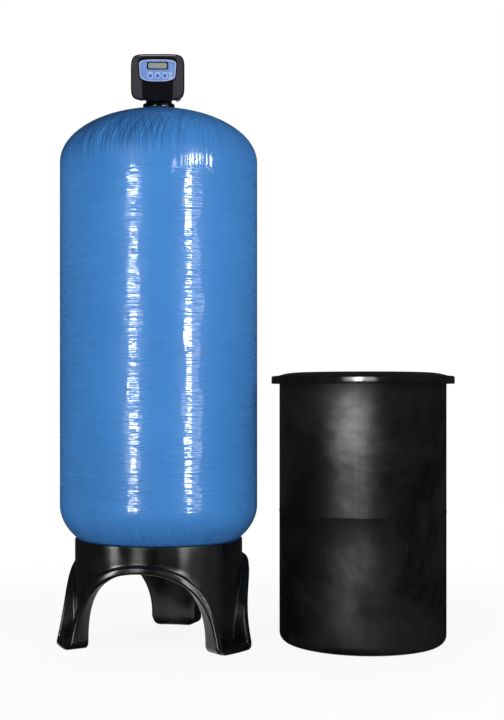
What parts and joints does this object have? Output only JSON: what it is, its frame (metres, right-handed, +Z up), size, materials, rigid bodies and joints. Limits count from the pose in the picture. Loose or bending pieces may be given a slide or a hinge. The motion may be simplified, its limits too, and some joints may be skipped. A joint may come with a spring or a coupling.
{
  "type": "water softener",
  "caption": "Upright wound fibreglass pressure tank on a moulded tripod base, with a control valve on top and a separate round brine tank with a low lid.",
  "frame": {"origin": "centre of the bounding box on the floor, between the two vessels", "axes": "+Z up; the control panel and the front arch of the base face -Y; the brine tank stands on the +X side"},
  "size_m": [1.5398, 0.7837, 2.2592],
  "materials": {
    "wound_fibreglass_blue": "glossy blue resin over horizontal and spiral glass windings",
    "moulded_black_gloss": "glossy moulded black",
    "valve_black": "satin black glass-filled plastic",
    "cover_graphite": "satin dark graphite",
    "panel_blue": "smooth bright blue",
    "key_blue": "smooth blue with a pale ring",
    "key_pale": "smooth pale blue",
    "display_glass": "dark-framed clear window",
    "display_grey": "grey-green liquid crystal display",
    "circuit_green": "green solder mask",
    "brine_tank_black": "semi-matt black polyethylene",
    "white_plastic": "plain white",
    "grey_nylon": "plain grey nylon",
    "stainless_steel": "bright stainless steel",
    "seal_rubber": "matt black",
    "resin_amber": "amber ion exchange beads",
    "gravel_grey": "washed gravel"
  },
  "bodies": {
    "softener": {"resin_tank": "wound_fibreglass_blue", "tank_neck_ring": "valve_black", "tripod_base": "moulded_black_gloss", "gravel_bed": "gravel_grey", "resin_bed": "resin_amber", "riser_tube": "white_plastic", "distributor": "white_plastic", "top_screen": "white_plastic", "tank_adapter": "moulded_black_gloss", "adapter_o_ring": "seal_rubber", "valve_body": "valve_black", "seal_stack": "seal_rubber", "drive_cap": "white_plastic", "drive_motor": "stainless_steel", "drive_bracket": "valve_black", "bracket_screw_1": "stainless_steel", "bracket_screw_2": "stainless_steel", "bracket_screw_3": "stainless_steel", "bracket_screw_4": "stainless_steel", "circuit_board": "circuit_green", "display_window": "display_glass", "display_module": "display_grey", "control_panel": "panel_blue", "front_cover": "cover_graphite", "inlet_connector": "valve_black", "outlet_connector": "valve_black", "inlet_union_nut": "grey_nylon", "outlet_union_nut": "grey_nylon", "meter_cage": "grey_nylon", "injector_cap": "valve_black", "refill_cap": "valve_black", "drain_elbow": "valve_black", "drain_nut": "grey_nylon", "brine_elbow": "valve_black", "brine_nut": "grey_nylon", "brine_tank": "brine_tank_black", "brine_lid": "brine_tank_black", "salt_grid": "white_plastic", "brine_well": "white_plastic", "brine_well_cap": "brine_tank_black", "safety_valve": "grey_nylon", "brine_line_fitting": "grey_nylon", "brine_line_nut": "white_plastic", "pickup_tube": "white_plastic", "air_check": "grey_nylon", "overflow_elbow": "brine_tank_black", "overflow_nut": "white_plastic"},
    "key_left": {"key_left": "key_blue"},
    "key_middle": {"key_middle": "key_blue"},
    "key_right": {"key_right": "key_blue"},
    "key_up": {"key_up": "key_pale"},
    "key_down": {"key_down": "key_pale"},
    "drive_gear": {"main_drive_gear": "grey_nylon"},
    "reduction": {"reduction_gear": "grey_nylon"},
    "motor_rotor": {"motor_pinion": "grey_nylon"},
    "control_piston": {"piston": "white_plastic", "piston_rod": "stainless_steel"},
    "meter_wheel": {"meter_turbine": "white_plastic"},
    "safety_float": {"float_rod": "stainless_steel", "float": "white_plastic"}
  },
  "joints": [
    {"name": "key_left_press", "type": "slide", "parent": "softener", "child": "key_left", "axis": [0, 1, 0], "range_m": [0, 0.001], "stiffness_N_per_m": 300},
    {"name": "key_middle_press", "type": "slide", "parent": "softener", "child": "key_middle", "axis": [0, 1, 0], "range_m": [0, 0.001], "stiffness_N_per_m": 300},
    {"name": "key_right_press", "type": "slide", "parent": "softener", "child": "key_right", "axis": [0, 1, 0], "range_m": [0, 0.001], "stiffness_N_per_m": 300},
    {"name": "key_up_press", "type": "slide", "parent": "softener", "child": "key_up", "axis": [0, 1, 0], "range_m": [0, 0.001], "stiffness_N_per_m": 300},
    {"name": "key_down_press", "type": "slide", "parent": "softener", "child": "key_down", "axis": [0, 1, 0], "range_m": [0, 0.001], "stiffness_N_per_m": 300},
    {"name": "drive_gear_turn", "type": "hinge", "parent": "softener", "child": "drive_gear", "pos_m": [-0.3756, -0.07747, 2.15], "axis": [0, 1, 0], "range_deg": [0, 1080]},
    {"name": "piston_travel", "type": "slide", "parent": "softener", "child": "control_piston", "axis": [0, 1, 0], "range_m": [0, 0.024]},
    {"name": "reduction_turn", "type": "hinge", "parent": "softener", "child": "reduction", "pos_m": [-0.3501, -0.07747, 2.19417], "axis": [0, 1, 0], "range_deg": [-2592, 0]},
    {"name": "motor_turn", "type": "hinge", "parent": "softener", "child": "motor_rotor", "pos_m": [-0.36635, -0.06897, 2.21573], "axis": [0, 1, 0], "range_deg": [0, 5184]},
    {"name": "meter_turn", "type": "hinge", "parent": "softener", "child": "meter_wheel", "pos_m": [-0.3496, 0.11103, 2.133], "axis": [0, 1, 0], "continuous": true},
    {"name": "float_rise", "type": "slide", "parent": "softener", "child": "safety_float", "axis": [0, 0, 1], "range_m": [0, 0.018]}
  ],
  "couplings": [
    {"joint": "piston_travel", "follows": "drive_gear_turn", "m_per_rad": 0.0012732},
    {"joint": "reduction_turn", "follows": "drive_gear_turn", "ratio": -2.4},
    {"joint": "motor_turn", "follows": "drive_gear_turn", "ratio": 4.8}
  ]
}
